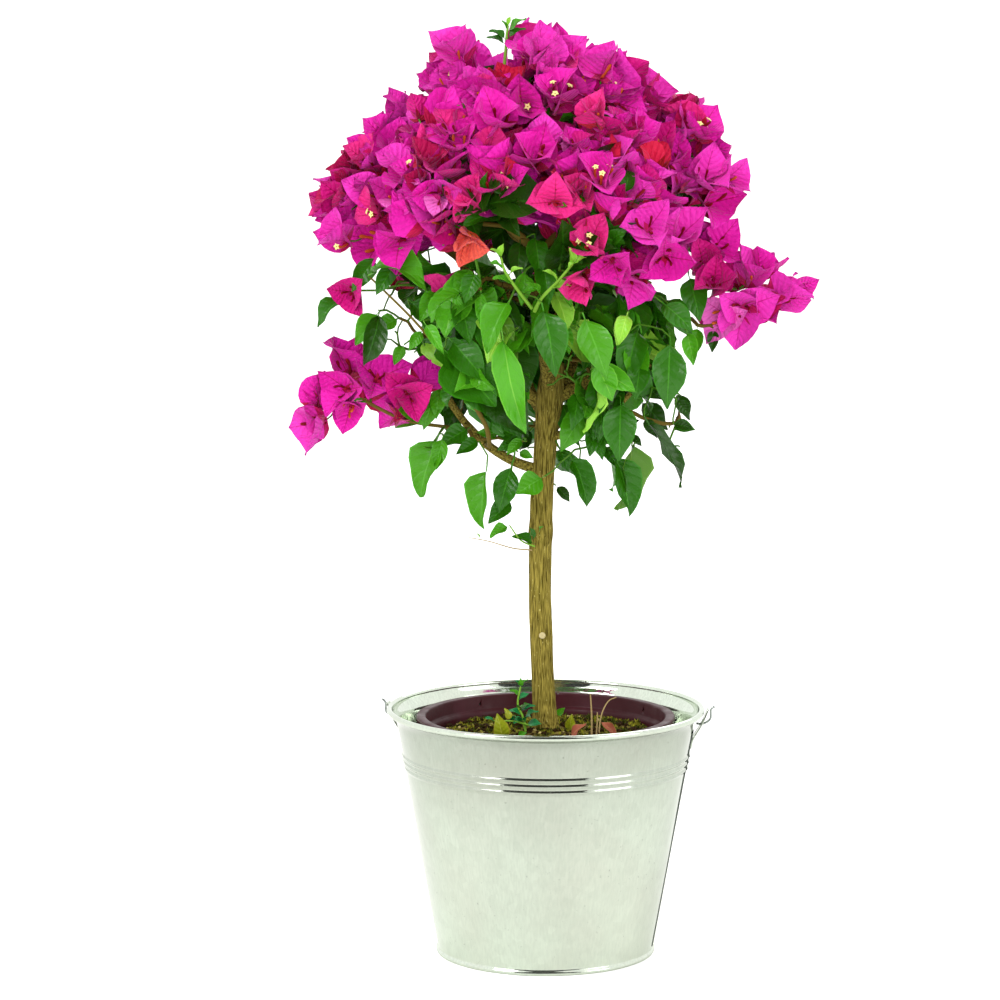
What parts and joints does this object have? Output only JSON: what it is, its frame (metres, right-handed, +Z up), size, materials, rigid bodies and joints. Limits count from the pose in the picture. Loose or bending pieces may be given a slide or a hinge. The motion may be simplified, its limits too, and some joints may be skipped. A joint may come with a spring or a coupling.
{
  "type": "bougainvillea standard in a zinc bucket",
  "caption": "Bougainvillea trained as a round-headed standard on one bare stem, with magenta bracts over green leaves, in a nursery pot inside a galvanised bucket.",
  "frame": {"origin": "middle of the bucket's flat underside", "axes": "+Z up along the stem, -Y to the front, +X to the viewer's right, where the bucket's seam and ear are"},
  "size_m": [0.3914, 0.2948, 0.6769],
  "materials": {
    "zinc": "satin",
    "wire": "satin",
    "pot_plastic": "satin",
    "soil": "matte",
    "bark": "matte",
    "leaf": "satin",
    "bract": "matte"
  },
  "bodies": {
    "root": {"bucket": "zinc", "ear_right": "zinc", "hook_right": "wire", "ear_left": "zinc", "hook_left": "wire", "nursery_pot": "pot_plastic", "soil": "soil", "stem": "bark", "blossom_top": "bract", "blossom_right": "bract", "blossom_back_right": "bract", "blossom_back_left": "bract", "blossom_left": "bract", "blossom_front_left": "bract", "blossom_front_right": "bract", "blossom_spray_left": "bract", "blossom_spray_right": "bract", "blossom_spray_back": "bract", "leaves_right": "leaf", "leaves_back_right": "leaf", "leaves_back_left": "leaf", "leaves_left": "leaf", "leaves_front_left": "leaf", "leaves_front_right": "leaf", "leaves_left_tip": "leaf", "leaves_low_right": "leaf", "leaves_right_tip": "leaf", "leaves_low_back": "leaf", "leaves_low_left": "leaf", "bough_low_left": "bark", "bough_left": "bark", "bough_right": "bark", "bough_right_low": "bark", "bough_front": "bark", "bough_back_left": "bark", "bough_low_back": "bark", "bough_back_right": "bark"}
  },
  "joints": []
}
